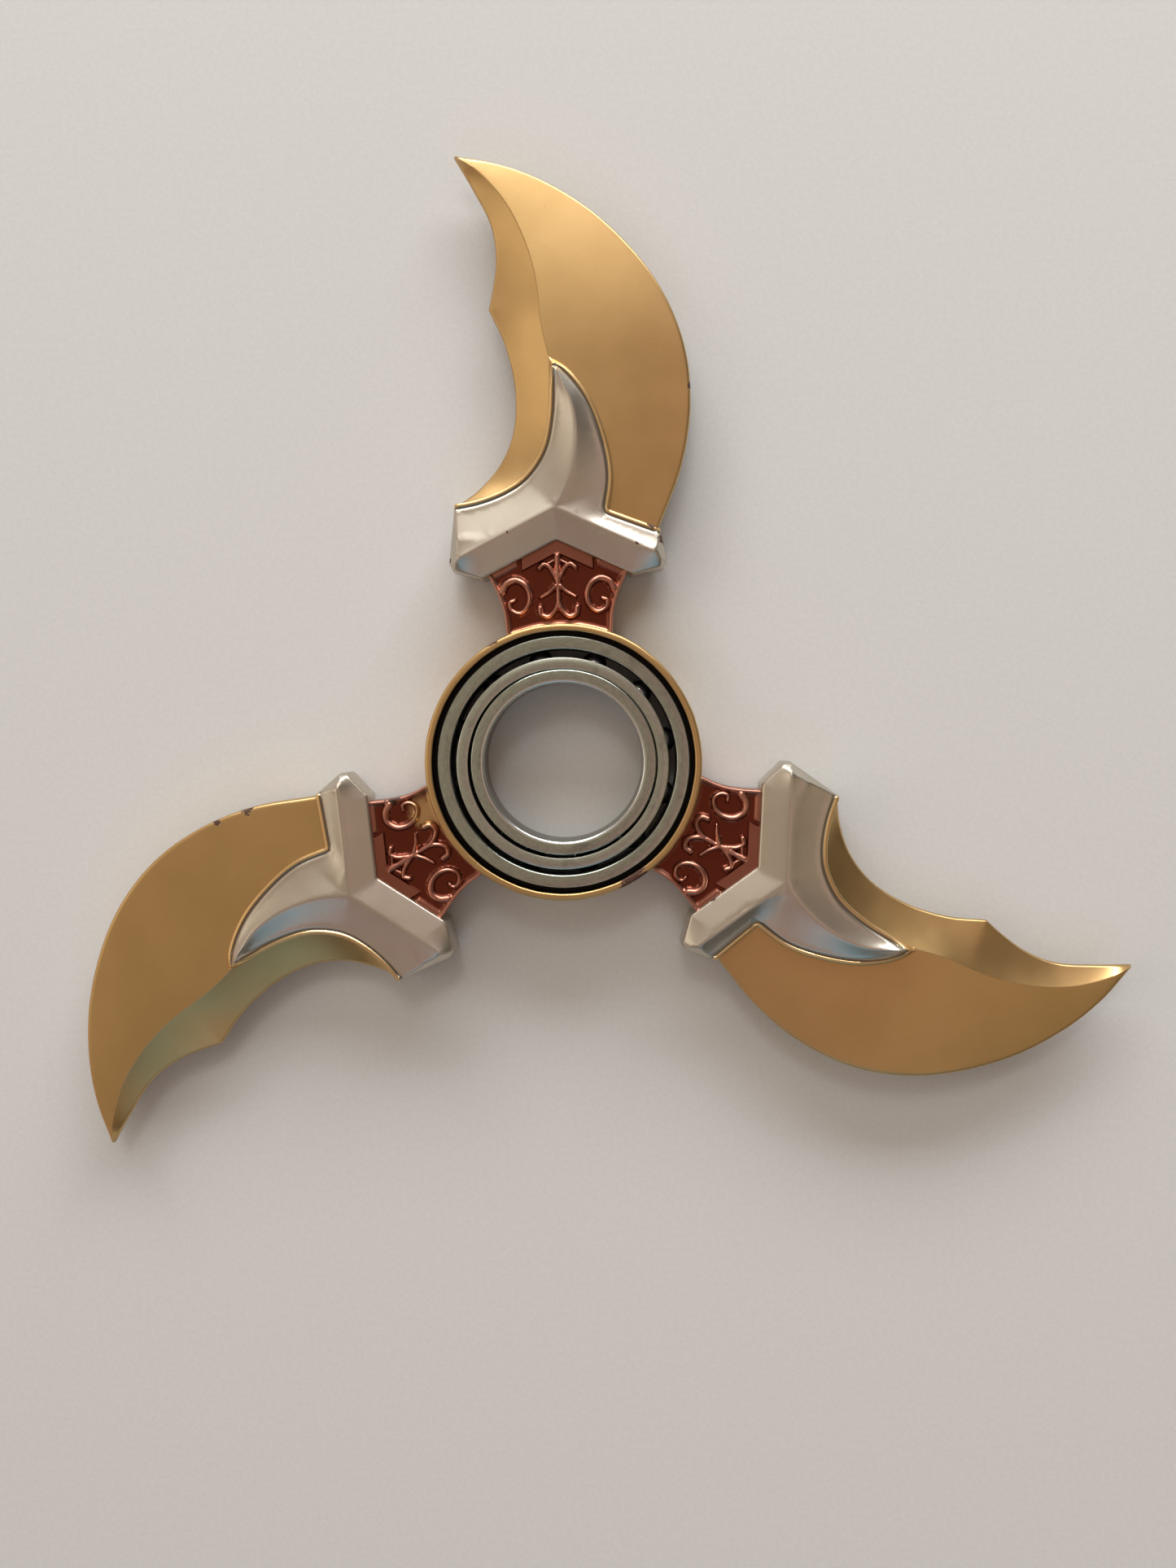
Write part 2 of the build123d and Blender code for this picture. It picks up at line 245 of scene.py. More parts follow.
# ---- meshes ----------------------------------------------------------------------------------
def offsets(line, steps, both):
    """Points beside a polyline at the given distances."""
    along = np.gradient(line, axis=0)
    normal = np.stack([-along[:, 1], along[:, 0]], 1) / np.maximum(np.hypot(*along.T), 1e-9)[:, None]
    signs = (1, -1) if both else (1,)
    return [line + normal * d * sign for d in steps for sign in signs]


def apart(points, least, taken=()):
    """The points that lie at least that far from each other and from those already taken."""
    cells = {}
    kept = []
    for p in [*taken, *points]:
        cell = (math.floor(p[0] / least), math.floor(p[1] / least))
        around = [(cell[0] + i, cell[1] + j) for i in (-1, 0, 1) for j in (-1, 0, 1)]
        near = [q for key in around for q in cells.get(key, ())]
        if len(kept) < len(taken) or all(math.hypot(p[0] - q[0], p[1] - q[1]) >= least for q in near):
            cells.setdefault(cell, []).append(p)
            kept.append(p)
    return np.array(kept[len(taken):]).reshape(-1, 2)


def triangulate(outline, creases, spacing, edge_steps, crease_steps, guides=()):
    """A triangulation of the outline's inside that follows its creases, denser beside its lines.

    Guides are further points at which the surface needs vertices.
    """
    ring = closed(outline)
    fixed = np.vstack([outline, *creases])
    count = len(outline)
    edges = [(i, (i + 1) % count) for i in range(count)]
    for crease in creases:
        edges += [(count + i, count + i + 1) for i in range(len(crease) - 1)]
        count += len(crease)
    extra = []
    for d in edge_steps:
        for c in offsets(ring, [d], True):
            c = c[inside(c, outline)]
            far = distance(c, ring)[0]
            near = [distance(c, crease)[0] > 0.6 * d for crease in creases]
            extra.append(c[(far > 0.93 * d) & np.all(near, axis=0)] if creases else c[far > 0.93 * d])
    for crease in creases:
        for d in crease_steps:
            for c in offsets(crease, [d], True):
                c = c[inside(c, outline)]
                if len(c):
                    far = distance(c, ring)[0]
                    own = distance(c, crease)[0]
                    extra.append(c[(far > 0.3 * spacing) & (own > 0.93 * d)])
    low, high = outline.min(0), outline.max(0)
    rows = np.arange(low[1], high[1], spacing * 0.866)
    grid = []
    for i, y in enumerate(rows):
        x = np.arange(low[0] + (i % 2) * spacing / 2, high[0], spacing)
        grid.append(np.stack([x, np.full_like(x, y)], 1))
    grid = np.vstack(grid)
    grid = grid[inside(grid, outline)]
    clear = distance(grid, ring)[0] > max(edge_steps, default=0) + 0.5 * spacing
    for crease in creases:
        clear &= distance(grid, crease)[0] > max(crease_steps, default=0) + 0.5 * spacing
    grid = grid[clear]
    if len(guides):
        beside = guides[inside(guides, outline)]
        beside = beside[distance(beside, ring)[0] > max(edge_steps) + 0.03]
        beside = apart(beside, 0.055, fixed)
        grid = apart(grid, 0.45 * spacing + 0.03, np.vstack([fixed, beside]))
        extra.append(beside)
    points = np.vstack([fixed, *[thin(e, 0.04) for e in extra if len(e)], grid])
    border = list(range(len(outline)))
    flat, _, faces, *_ = delaunay_2d_cdt([Vector(p) for p in points], edges, [border], 1, 1e-4)
    return np.array([tuple(v) for v in flat]), [tuple(f) for f in faces]


def thin(points, least):
    """Drops points that lie closer than least to the one before."""
    keep = [0]
    for i in range(1, len(points)):
        if np.hypot(*(points[i] - points[keep[-1]])) >= least:
            keep.append(i)
    return points[keep]


def slab(flat, faces, top, bulge=0.0, rows=2):
    """A closed solid with a relief top and a mirrored underside, joined by a wall."""
    n = len(flat)
    verts = [np.column_stack([flat, top]), np.column_stack([flat, -top])]
    tris = [tuple(f) for f in faces] + [tuple(n + i for i in reversed(f)) for f in faces]
    seen = dict.fromkeys(pair for f in faces for pair in zip(f, f[1:] + f[:1]))
    rim = [(a, b) for a, b in seen if (b, a) not in seen]
    after = dict(rim)
    before = {b: a for a, b in rim}
    order = sorted(after)
    index = {v: k for k, v in enumerate(order)}
    along = np.array([flat[after[v]] - flat[before[v]] for v in order])
    out = np.stack([along[:, 1], -along[:, 0]], 1) / np.maximum(np.hypot(*along.T), 1e-9)[:, None]
    levels = [lambda v: v]
    base = 2 * n
    for r in range(1, rows + 1):
        share = 1 - 2 * r / (rows + 1)
        shift = bulge * (1 - share * share)
        verts.append(np.column_stack([flat[order] + out * shift, top[order] * share]))
        levels.append(lambda v, s=base: s + index[v])
        base += len(order)
    levels.append(lambda v: n + v)
    for a, b in rim:
        for upper, lower in zip(levels[:-1], levels[1:]):
            tris.append((upper(a), lower(a), lower(b), upper(b)))
    return np.vstack(verts), tris


def spot(verts, x, y, reach):
    """A soft round spot: 1 at its middle, and falling off over its reach."""
    return np.exp(-((verts[:, 0] - x) ** 2 + (verts[:, 1] - y) ** 2) / reach ** 2)


def build(name, verts, faces, material, turn=0.0, sharp=40, **attributes):
    """A mesh object from millimetre vertices, turned about the spin axis."""
    c, s = math.cos(turn), math.sin(turn)
    placed = verts @ np.array([[c, s, 0], [-s, c, 0], [0, 0, 1]])
    wear = [spot(placed, *where) for where in WORN]
    height = np.abs(placed[:, 2]) / np.abs(placed[:, 2]).max()
    attributes["wear"] = np.clip(sum(wear), 0, 1) * smooth(0.35, 0.65, height)
    placed *= MM
    mesh = bpy.data.meshes.new(name)
    mesh.from_pydata(placed.tolist(), [], faces)
    for key, values in attributes.items():
        layer = mesh.attributes.new(key, "FLOAT", "POINT")
        layer.data.foreach_set("value", np.asarray(values, np.float32))
    mesh.polygons.foreach_set("use_smooth", [True] * len(mesh.polygons))
    mesh.set_sharp_from_angle(angle=math.radians(sharp))
    mesh.materials.append(material)
    mesh.update()
    piece = bpy.data.objects.new(name, mesh)
    bpy.context.scene.collection.objects.link(piece)
    return piece


def lathe(profile, segments=288):
    """Vertices and faces of a ring whose closed profile lists (radius, height) points.

    A height may also be an array with one value for each segment.
    """
    angles = np.linspace(0, 2 * math.pi, segments, endpoint=False)
    across = np.column_stack([np.cos(angles), np.sin(angles)])
    rings = [np.column_stack([r * across, np.broadcast_to(z, segments)]) for r, z in profile]
    faces = []
    count = len(profile)
    for i in range(count):
        j = (i + 1) % count
        for k in range(segments):
            m = (k + 1) % segments
            faces.append((i * segments + k, i * segments + m, j * segments + m, j * segments + k))
    return np.vstack(rings), faces


def rounded_profile(corners, steps=5):
    """A closed profile whose corners, given as (radius, height, fillet), are rounded."""
    points = []
    count = len(corners)
    for i, (x, y, fillet) in enumerate(corners):
        here = np.array([x, y], float)
        back = np.array(corners[i - 1][:2], float) - here
        on = np.array(corners[(i + 1) % count][:2], float) - here
        back /= np.linalg.norm(back)
        on /= np.linalg.norm(on)
        if fillet == 0:
            points.append(tuple(here))
            continue
        half = math.acos(np.clip(back @ on, -1, 1)) / 2
        reach = fillet / math.tan(half)
        centre = here + (back + on) / np.linalg.norm(back + on) * fillet / math.sin(half)
        a, b = here + back * reach - centre, here + on * reach - centre
        turn = math.atan2(a[0] * b[1] - a[1] * b[0], a @ b)
        for k in range(steps + 1):
            t = turn * k / steps
            c, s = math.cos(t), math.sin(t)
            points.append(tuple(centre + (a[0] * c - a[1] * s, a[0] * s + a[1] * c)))
    return points


# ---- node helpers ----------------------------------------------------------------------------
class Nodes:
    """A material's node tree, with short calls that add a node and wire its inputs."""

    def __init__(self, name):
        self.material = bpy.data.materials.new(name)
        self.material.use_nodes = True
        self.tree = self.material.node_tree
        self.shader = self.tree.nodes["Principled BSDF"]
        self.coords = self.add("ShaderNodeTexCoord").outputs["Object"]

    def add(self, kind, inputs=(), **settings):
        node = self.tree.nodes.new(kind)
        for key, value in settings.items():
            setattr(node, key, value)
        for key, value in dict(inputs).items():
            self.set(node, key, value)
        return node

    def set(self, node, key, value):
        if isinstance(value, bpy.types.NodeSocket):
            self.tree.links.new(value, node.inputs[key])
        else:
            node.inputs[key].default_value = value

    def math(self, operation, a, b=0.0):
        return self.add("ShaderNodeMath", {0: a, 1: b}, operation=operation).outputs[0]

    def noise(self, per_mm, detail=2.0, rough=0.5, at=None):
        inputs = {"Vector": at or self.coords, "Scale": per_mm / MM, "Detail": detail, "Roughness": rough}
        return self.add("ShaderNodeTexNoise", inputs).outputs[0]

    def step(self, value, low, high):
        """0 below low, 1 above high and smooth between."""
        inputs = {0: value, 1: low, 2: high, 3: 0.0, 4: 1.0}
        return self.add("ShaderNodeMapRange", inputs, interpolation_type="SMOOTHSTEP").outputs[0]

    def mix(self, share, a, b):
        node = self.add("ShaderNodeMix", {0: share}, data_type="RGBA")
        self.set(node, 6, a if isinstance(a, bpy.types.NodeSocket) else (*a, 1))
        self.set(node, 7, b if isinstance(b, bpy.types.NodeSocket) else (*b, 1))
        return node.outputs[2]

    def blend(self, share, a, b):
        node = self.add("ShaderNodeMix", {0: share, 2: a, 3: b}, data_type="FLOAT")
        return node.outputs[0]

    def attribute(self, name):
        return self.add("ShaderNodeAttribute", attribute_name=name).outputs["Fac"]

    def bump(self, height, distance_mm, strength=1.0, onto=None):
        inputs = {"Height": height, "Strength": strength, "Distance": distance_mm * MM}
        node = self.add("ShaderNodeBump", inputs)
        if onto:
            self.set(node, "Normal", onto)
        return node.outputs[0]

    def finish(self, **inputs):
        for key, value in inputs.items():
            self.set(self.shader, key.replace("_", " "), value)
        return self.material


def paint(name, light, dark, roughness, cavity, gilt):
    """Satin metallic paint over a casting: flake, faint orange peel, dust specks, worn edges, painted shade
    in its hollows and a painted highlight along its edges.
    """
    n = Nodes(name)
    cloud = n.step(n.noise(0.16, 3.0), 0.3, 0.7)
    colour = n.mix(cloud, dark, light)
    flake = n.noise(7.0, 2.0, 0.6)
    glint = tuple(min(1, 1.35 * c) for c in light)
    colour = n.mix(n.math("MULTIPLY", n.step(flake, 0.5, 0.75), 0.16), colour, glint)
    # Painted shade: a darker colour laid over the grooves, hollows and low ground that the piece marks
    colour = n.mix(n.attribute("cavity"), colour, cavity)
    spray = n.math("ADD", n.attribute("gilt"), n.math("MULTIPLY", n.noise(0.8, 4.0, 0.65), 0.5))
    colour = n.mix(n.step(spray, 0.62, 0.95), colour, gilt)
    cells = n.add("ShaderNodeTexVoronoi", {"Vector": n.coords, "Scale": 0.7 / MM, "Randomness": 1.0})
    chance = n.add("ShaderNodeSeparateColor", {0: cells.outputs["Color"]}).outputs[0]
    pick = n.step(chance, 0.86, 0.9)
    dot = n.math("SUBTRACT", 1.0, n.step(cells.outputs["Distance"], 0.02, 0.07))
    speck = n.math("MULTIPLY", dot, pick)
    rim = n.attribute("rim")
    wear = n.attribute("wear")
    grain = n.noise(1.5, 5.0, 0.7)
    worn = n.math("ADD", n.math("MULTIPLY", grain, n.blend(wear, 0.6, 1.0)), n.math("MULTIPLY", rim, 0.22))
    worn = n.math("ADD", worn, n.math("MULTIPLY", wear, 0.16))
    chip = n.step(worn, 0.66, 0.69)
    # Painted highlight: a lighter copy of the paint in patches along the edges; the same rim mark also
    # drives the chips, which are wear
    edge_sheen = n.math("MULTIPLY", n.step(rim, 0.5, 1.0), n.step(n.noise(0.5, 3.0), 0.35, 0.7))
    sheen_colour = tuple(min(1, 1.2 * c + 0.03) for c in light)
    colour = n.mix(n.math("MULTIPLY", edge_sheen, 0.35), colour, sheen_colour)
    colour = n.mix(chip, colour, CHIP_COLOUR)
    rough = n.blend(n.step(n.noise(0.45, 4.0), 0.25, 0.8), roughness - 0.015, roughness + 0.02)
    normal = n.bump(flake, 0.003, 0.35)
    normal = n.bump(n.noise(1.6, 2.0), 0.008, 0.4, normal)
    normal = n.bump(speck, 0.02, 0.6, normal)
    normal = n.bump(chip, -0.03, 1.0, normal)
    metal = n.blend(chip, 0.96, 0.0)
    rough = n.blend(chip, rough, 0.6)
    return n.finish(Base_Color=colour, Metallic=metal, Roughness=rough, Normal=normal)


# Painted shade on the bore's wall, and a painted highlight on the bore's top edge
BORE_SHADE_COLOUR = (0.17, 0.15, 0.115)
BORE_EDGE_HIGHLIGHT = (0.62, 0.655, 0.63)


def steel(name, light, dark, roughness, shade_below, turned=1.0):
    """Ground bearing steel: turning marks round the axis, stains, painted shade on the bore's wall with a
    painted highlight on its top edge, and painted dark shade between the races, below that height in mm."""
    n = Nodes(name)
    axes = n.add("ShaderNodeSeparateXYZ", {0: n.coords}).outputs
    x, y = axes[0], axes[1]
    radius = n.math("SQRT", n.math("ADD", n.math("MULTIPLY", x, x), n.math("MULTIPLY", y, y)))
    angle = n.math("MULTIPLY", n.math("ARCTAN2", y, x), 2.0 * MM)
    rings = n.add("ShaderNodeCombineXYZ", {0: radius, 1: angle, 2: axes[2]}).outputs[0]
    lines = n.noise(9.0, 3.0, 0.6, at=rings)
    stain = n.step(n.noise(0.35, 5.0, 0.6), 0.56, 0.75)
    fine = n.noise(5.0, 3.0, 0.6)
    colour = n.mix(n.step(lines, 0.3, 0.7), dark, light)
    colour = n.mix(n.math("MULTIPLY", stain, 0.5), colour, tuple(0.45 * c for c in dark))
    height = n.math("ABSOLUTE", axes[2])
    # Painted shade on the bore's wall and a painted highlight along its top edge
    near_bore = n.step(radius, 7.95 * MM, 7.75 * MM)
    edge = n.math("MULTIPLY", near_bore, n.step(height, 2.05 * MM, 2.25 * MM))
    colour = n.mix(n.step(radius, 7.75 * MM, 7.6 * MM), colour, BORE_SHADE_COLOUR)
    colour = n.mix(edge, colour, BORE_EDGE_HIGHLIGHT)
    # Painted shade: very dark on the faces between the races below that height, and wherever the piece
    # marks its hollows
    below = n.step(height, shade_below * MM, (shade_below - 0.25) * MM)
    between = n.step(radius, 8.6 * MM, 8.75 * MM)
    gap_shade = n.math("MAXIMUM", n.math("MULTIPLY", below, between), n.attribute("cavity"))
    colour = n.mix(gap_shade, colour, GAP_SHADE_COLOUR)
    rough = n.blend(fine, roughness - 0.03, roughness + 0.05)
    normal = n.bump(lines, 0.003 * turned, 0.7)
    metal = n.blend(gap_shade, 1.0, 0.2)
    rough = n.blend(gap_shade, rough, 0.45)
    return n.finish(Base_Color=colour, Metallic=metal, Roughness=rough, Normal=normal)


# ---- the spinner's pieces ----------------------------------------------------------------------
def blade_shape():
    """The claw: a crowned face that thins to the tip, and two hollow-ground bevels meeting at the cusp."""
    outer = spline(OUTER_EDGE)
    lower = spline(LOWER_SCALLOP)
    upper = spline(UPPER_SCALLOP)
    outline = loop(outer, straight(TANG), lower[::-1], upper[::-1])[::-1]
    ridge = spline(BEVEL_RIDGE)
    beside_edge = (0.05, 0.12, 0.21, 0.34, 0.55)
    flat, faces = triangulate(outline, [ridge[2:-2]], 0.55, beside_edge, (0.08, 0.2, 0.4))
    edge = np.vstack([upper, lower])
    d_edge = distance(flat, edge)[0]
    d_ridge, side, _ = distance(flat, ridge)
    d_outer = distance(flat, outer)[0]
    share = d_edge / np.maximum(d_edge + d_ridge, 1e-6)
    hollow = BLADE_EDGE_Z + (BLADE_Z - BLADE_EDGE_Z) * (0.8 * share + 0.2 * share ** 2)
    across = d_ridge / np.maximum(d_ridge + d_outer, 1e-6)
    fall = 0.22 + 0.12 * smooth(44, 54, flat[:, 1])
    crown = BLADE_Z - fall * across ** 2.2 - rounding(d_outer, 0.3) * 0.8
    taper = 1 - 0.8 * smooth(38, 66, flat[:, 1])
    top = np.where(side < 0, hollow, crown)
    top = BLADE_EDGE_Z + (top - BLADE_EDGE_Z) * np.clip(taper, 0.3, 1)
    top -= rounding(d_edge, 0.12) * 0.8
    verts, shell = slab(flat, faces, top, 0.06)
    rim = np.clip(1 - np.minimum(d_outer, d_edge) / 0.55, 0, 1)
    return verts, shell, spread(rim, len(flat), len(verts))


def spread(values, flat_count, vert_count, wall=0.2):
    """Values on a slab's relief top repeated on its underside, with one value on the wall."""
    return np.concatenate([values, values, np.full(vert_count - 2 * flat_count, wall)])


def guard_shape():
    """The chevron guard and its fang-shaped leaf, with soft ridges, a gilt bead and a groove inside it."""
    left = spline(LEAF_LEFT)
    right = spline(LEAF_RIGHT)
    shoulder = straight([LEAF_BASE, GUARD_RIGHT_TOP])
    foot = straight([GUARD_RIGHT_END[-1], (0, CHEVRON_APEX), GUARD_LEFT_END[0]])
    right_end = straight(GUARD_RIGHT_END)
    left_end = straight(GUARD_LEFT_END)
    lower = straight([GUARD_RIGHT_END[2], GUARD_RIGHT_END[3], (0, CHEVRON_APEX), *GUARD_LEFT_END[:2]])
    outline = loop(left, right, shoulder, right_end, foot, left_end)[::-1]
    leaf_ridge = spline(LEAF_RIDGE)
    wings = straight([chevron(RIDGE_APEX, -RIDGE_END_X), (0, RIDGE_APEX), chevron(RIDGE_APEX, RIDGE_END_X)])
    bead_edge = (0.05, 0.1, 0.16, 0.22, 0.28, 0.34, 0.41, 0.48, 0.56, 0.66, 0.76, 0.88)
    flat, faces = triangulate(outline, [wings, leaf_ridge[1:-2]], 0.4, bead_edge, (0.1, 0.22, 0.38))
    trimmed = np.vstack([left, right[1:], shoulder[1:]])
    d_trim = distance(flat, trimmed)[0]
    d_foot = distance(flat, lower)[0]
    d_right_end = distance(flat, straight(GUARD_RIGHT_END[:3]))[0]
    d_left_end = distance(flat, straight(GUARD_LEFT_END[1:]))[0]
    d_ends = np.minimum(d_right_end, d_left_end)
    d_ridge = np.minimum(distance(flat, wings)[0], distance(flat, leaf_ridge)[0])
    d_side = np.minimum(d_trim, d_foot)
    share = d_side / np.maximum(d_side + d_ridge, 1e-6)
    soft = 1 - np.sqrt((1 - share) ** 2 + 0.003) + 0.02
    soft = np.where(d_trim < d_foot, 0.62 * soft + 0.38 * soft ** 2, soft)
    low = GUARD_EDGE_Z + (GUARD_FOOT_Z - GUARD_EDGE_Z) * smooth(0.8, -0.8, d_foot - d_trim)
    top = low + (GUARD_RIDGE_Z - low) * np.clip(soft, 0, 1)
    end_face = 2.1 + 1.15 * d_ends
    top = 0.5 * (top + end_face - np.sqrt((top - end_face) ** 2 + 0.004))
    bead = np.clip(1 - ((d_trim - 0.2) / 0.2) ** 2, 0, 1) ** 0.6
    groove = np.exp(-((d_trim - 0.47) / 0.09) ** 2)
    rail = np.exp(-((d_trim - 0.75) / 0.09) ** 2)
    top += 0.10 * bead - 0.10 * groove + 0.03 * rail
    top -= rounding(np.minimum(d_foot, d_ends), 0.22) * 0.8
    verts, shell = slab(flat, faces, top, 0.08)
    rim = np.clip(1 - np.minimum(np.minimum(d_foot, d_ends) / 0.5, d_trim / 0.25), 0, 1)
    rim = np.maximum(rim, 0.5 * np.clip(1 - d_ridge / 0.25, 0, 1))
    gilt = 1 - smooth(0.33, 0.42, d_trim)
    # Painted shade laid in the groove inside the bead
    cavity = np.clip(groove * 0.95, 0, 1)
    count = len(flat), len(verts)
    return verts, shell, spread(rim, *count), spread(cavity, *count, 0.0), spread(gilt, *count, 0.0)


def neck_shape():
    """The waisted neck: raised rims, a flat plate under the guard's point, and rounded scrollwork."""
    side = spline(NECK_SIDE, 0.12)
    other = spline(mirrored(NECK_SIDE), 0.12)
    top_line = straight([NECK_SIDE[0], (0, CHEVRON_APEX), mirrored(NECK_SIDE)[-1]], 0.12)
    # the hub end follows the ring, just inside its wall
    start = math.atan2(NECK_SIDE[-1][1], NECK_SIDE[-1][0])
    end = math.pi - start
    angles = np.linspace(start, end, 60)
    arc = (HUB_R - 0.15) * np.stack([np.cos(angles), np.sin(angles)], 1)
    outline = loop(side, arc, other, top_line[::-1])
    runs = []
    for points, first, last in STROKES:
        line = spline(points, 0.08)
        if any(x for x, _ in points):
            runs.append((line * (-1, 1), STROKE_GAIN * first, STROKE_GAIN * last))
        runs.append((line, STROKE_GAIN * first, STROKE_GAIN * last))
    plate_apex = CHEVRON_APEX - PLATE_DEPTH
    plate_line = straight([
        chevron(CHEVRON_APEX, -PLATE_X), chevron(plate_apex, -PLATE_X), (0, plate_apex),
        chevron(plate_apex, PLATE_X), chevron(CHEVRON_APEX, PLATE_X)], 0.08)
    guides = []
    for line, first, last in runs:
        width = np.linspace(first, last, len(line))[:, None]
        normal = offsets(line, [1.0], False)[0] - line
        guides += [line + normal * width * k for k in (-1.1, -0.97, -0.75, -0.4, 0, 0.4, 0.75, 0.97, 1.1)]
        guides.append(line)
    guides += offsets(plate_line, [0.001, 0.06, 0.13, 0.2, 0.27], True)
    guides = np.vstack(guides)
    flat, faces = triangulate(outline, [], 0.14, (0.05, 0.11, 0.18, 0.26), (), guides)
    d_side = np.minimum(distance(flat, side)[0], distance(flat, other)[0])
    d_hub = np.hypot(*flat.T) - HUB_R
    foot = straight([chevron(CHEVRON_APEX, -7), (0, CHEVRON_APEX), chevron(CHEVRON_APEX, 7)])
    d_top = distance(flat, foot)[0]
    d_plate = distance(flat, plate_line)[0]
    below = CHEVRON_APEX - CHEVRON_SLOPE * np.abs(flat[:, 0]) - flat[:, 1]
    on_plate = (below < PLATE_DEPTH) & (np.abs(flat[:, 0]) < PLATE_X)
    outward = np.where(on_plate, -d_plate, d_plate)
    height = NECK_RIM_Z - NECK_FLOOR_Z
    rim_wall = smooth(0.62, 0.1, d_side)
    plate = smooth(0.05, -0.06, outward)
    moat = np.exp(-((outward - 0.16) / 0.1) ** 2) * smooth(PLATE_X + 0.6, PLATE_X + 0.3, np.abs(flat[:, 0]))
    shelf = smooth(0.6, 0.3, d_top) * smooth(0.2, 0.5, outward)
    top = NECK_FLOOR_Z + height * np.maximum(np.maximum(0.85 * rim_wall, 0.55 * plate), 0.35 * shelf)
    top -= 0.26 * moat
    relief = np.zeros(len(flat))
    for line, first, last in runs:
        d, _, along = distance(flat, line)
        width = first + (last - first) * along
        swell = np.clip(1 - (d / width) ** 2, 0, 1) ** 0.65 * np.clip(width / 0.26, 0.6, 1.1)
        relief = np.maximum(relief, swell)
    top = np.maximum(top, NECK_FLOOR_Z + 0.46 * relief)
    top += 0.2 * np.clip(1 - d_hub / 0.45, 0, 1) ** 2 * (1 - rim_wall)
    top -= rounding(d_side, 0.25) * 0.8
    verts, shell = slab(flat, faces, top, 0.05)
    rim = np.clip(1 - d_side / 0.45, 0, 1)
    # Painted shade: darker the lower the relief lies, and also on the plate and on the walls
    cavity = np.clip(1 - (top - NECK_FLOOR_Z) / 0.26, 0, 1)
    cavity = np.maximum(cavity, 0.5 * plate * (relief < 0.05))
    gilt = 0.62 * smooth(0.5, 0.0, d_hub)
    count = len(flat), len(verts)
    return verts, shell, spread(rim, *count), spread(cavity, *count, 0.3), spread(gilt, *count, 0.0)


# Rings as (radius, height, fillet) corners, in mm
HUB_PROFILE = [
    (12.0, -1.6, 0), (12.43, -1.6, 0), (12.43, -2.8, 0), (12.43, -3.2, 0.16), (HUB_R, -3.2, 0.3),
    (HUB_R, -2.5, 0), (HUB_R, -1.2, 0), (HUB_R, 1.2, 0), (HUB_R, 2.5, 0), (HUB_R, 3.2, 0.3),
    (12.43, 3.2, 0.16), (12.43, 2.8, 0), (12.43, 1.6, 0), (12.0, 1.6, 0)]
RACE_PROFILES = {
    "bearing_outer_race": [(12.0, -2.5, 0.18), (12.0, 2.5, 0.18), (10.73, 2.5, 0.15), (10.73, -2.5, 0.15)],
    "bearing_inner_race": [(8.8, -2.5, 0.15), (8.8, 2.5, 0.15), (7.5, 2.5, 0.3), (7.5, -2.5, 0.3)],
}


def make_hub(material):
    """The hub ring, with the slight unevenness of a casting along its rims, and a worn patch."""
    verts, faces = lathe(rounded_profile(HUB_PROFILE))
    r = np.hypot(verts[:, 0], verts[:, 1])
    angle = np.arctan2(verts[:, 1], verts[:, 0])
    face = smooth(2.6, 3.1, np.abs(verts[:, 2])) * smooth(12.3, 12.5, r)
    wave = 0.012 * np.sin(7 * angle + 1) + 0.010 * np.sin(17 * angle + 2.3) + 0.006 * np.sin(41 * angle)
    verts[:, :2] *= (1 + face * wave / r)[:, None]
    rim = face * np.clip(1 - np.minimum(np.abs(r - 12.5), np.abs(r - HUB_R + 0.1)) / 0.3, 0, 1)
    from_patch = (np.degrees(angle) + 58 + 180) % 360 - 180
    patch = np.exp(-(from_patch / 9) ** 2)
    # Painted shade: a very dark colour laid in the hollow step inside the ring's rim
    recess_shade = smooth(12.46, 12.44, r) * smooth(3.0, 2.81, np.abs(verts[:, 2]))
    to_arm = (angle - math.pi / 2 + ARM_STEP / 2) % ARM_STEP - ARM_STEP / 2
    tint = 0.55 * np.exp(-(to_arm / math.radians(16)) ** 2) * smooth(12.5, 13.05, r)
    rim = np.clip(rim * (0.75 + patch), 0, 1)
    return build("hub_casting", verts, faces, material, rim=rim, cavity=recess_shade, gilt=tint)


# The cage, in mm: its ring, its balls' circle and pockets, and how far off centre it lies
CAGE_INNER, CAGE_OUTER = 9.0, 10.12
CAGE_TOP = 2.2
CAGE_WEB = 0.55
CAGE_FLOOR = -0.7
BALL_STEP = math.radians(30)
FIRST_BALL = math.radians(11)
BALL_CIRCLE = 9.56
POCKET_R = 1.33
FINGER_X = 1.05
CAGE_OFF = (-0.09, -0.13)


def make_cage(material):
    """The cage's flat ring, lying a little off centre between the races, and its ball pockets."""
    segments = 720
    angles = np.linspace(0, 2 * math.pi, segments, endpoint=False)
    from_ball = (angles - FIRST_BALL + BALL_STEP / 2) % BALL_STEP - BALL_STEP / 2
    across = np.abs(from_ball) * BALL_CIRCLE
    pocket = np.sqrt(np.clip(POCKET_R ** 2 - across ** 2, 0, None))
    under = np.where(across <= FINGER_X, np.maximum(pocket, CAGE_WEB), CAGE_FLOOR)
    verts, faces = lathe([
        (CAGE_INNER + 0.03, CAGE_TOP - 0.03), (CAGE_INNER, CAGE_TOP - 0.1), (CAGE_INNER, under),
        (CAGE_OUTER, under), (CAGE_OUTER, CAGE_TOP - 0.16), (CAGE_OUTER - 0.05, CAGE_TOP - 0.05),
        (CAGE_OUTER - 0.16, CAGE_TOP), (CAGE_INNER + 0.1, CAGE_TOP)], segments)
    verts[:, :2] += CAGE_OFF
    return build("cage_ring", verts, faces, material, sharp=30)


